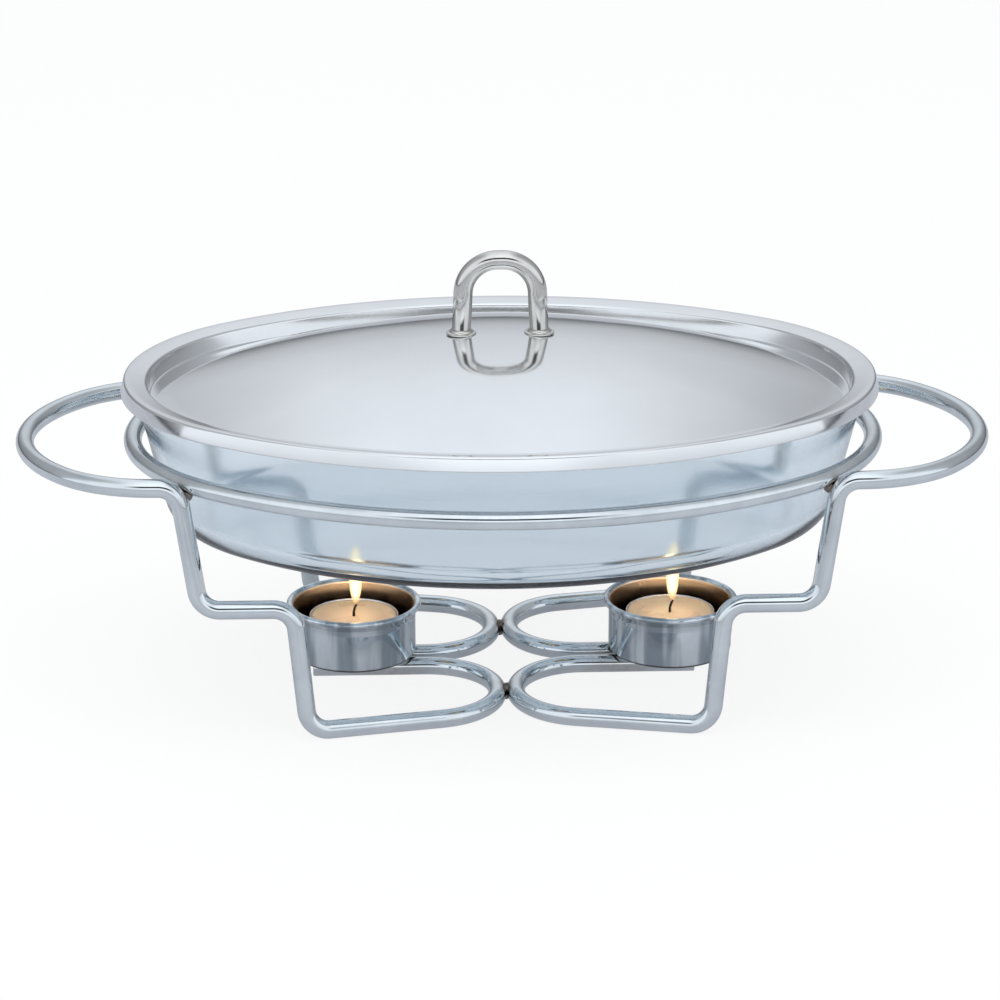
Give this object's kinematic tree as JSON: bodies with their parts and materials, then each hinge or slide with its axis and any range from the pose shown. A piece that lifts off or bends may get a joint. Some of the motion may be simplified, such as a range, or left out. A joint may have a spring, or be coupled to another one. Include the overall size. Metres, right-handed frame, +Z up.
{
  "type": "candle-heated buffet server",
  "caption": "Oval glass serving dish with a domed steel lid, carried in a chromed wire stand with loop handles over two tealight cups.",
  "frame": {"origin": "on the table, under the centre of the dish", "axes": "+X along the dish towards the right handle, +Y to the back, +Z up"},
  "size_m": [0.431, 0.244, 0.1955],
  "materials": {
    "chromed_wire": "bright chrome plating on steel wire",
    "weld": "plated weld beads, slightly discoloured",
    "cup_steel": "bright rolled stainless steel",
    "dish_glass": "clear pressed glass with a blue tint",
    "lid_steel": "polished stainless steel",
    "handle_steel": "polished stainless steel wire",
    "fastener_steel": "plain steel",
    "can_foil": "thin pressed foil",
    "wax": "paraffin wax, soft and waxy, with a melted pool",
    "wick": "charred cotton"
  },
  "bodies": {
    "stand": {"support_ring": "chromed_wire", "frame_wire_left": "chromed_wire", "frame_wire_right": "chromed_wire", "ring_welds": "weld", "base_welds": "weld", "cup_welds": "weld", "candle_cup_left": "cup_steel", "candle_cup_right": "cup_steel"},
    "dish": {"glass_dish": "dish_glass"},
    "lid": {"lid_shell": "lid_steel", "lid_handle": "handle_steel", "handle_collars": "handle_steel", "handle_washers": "fastener_steel", "handle_screws": "fastener_steel"},
    "tealight_left": {"tealight_can_left": "can_foil", "tealight_wax_left": "wax", "wick_base_left": "fastener_steel", "wick_left": "wick"},
    "tealight_right": {"tealight_can_right": "can_foil", "tealight_wax_right": "wax", "wick_base_right": "fastener_steel", "wick_right": "wick"}
  },
  "joints": [
    {"name": "dish_lift", "type": "slide", "parent": "stand", "child": "dish", "axis": [0, 0, 1], "range_m": [0, 0.09]},
    {"name": "lid_lift", "type": "slide", "parent": "dish", "child": "lid", "axis": [0, 0, 1], "range_m": [0, 0.12]},
    {"name": "tealight_left_lift", "type": "slide", "parent": "stand", "child": "tealight_left", "axis": [0, 0, 1], "range_m": [0, 0.016]},
    {"name": "tealight_right_lift", "type": "slide", "parent": "stand", "child": "tealight_right", "axis": [0, 0, 1], "range_m": [0, 0.016]}
  ]
}
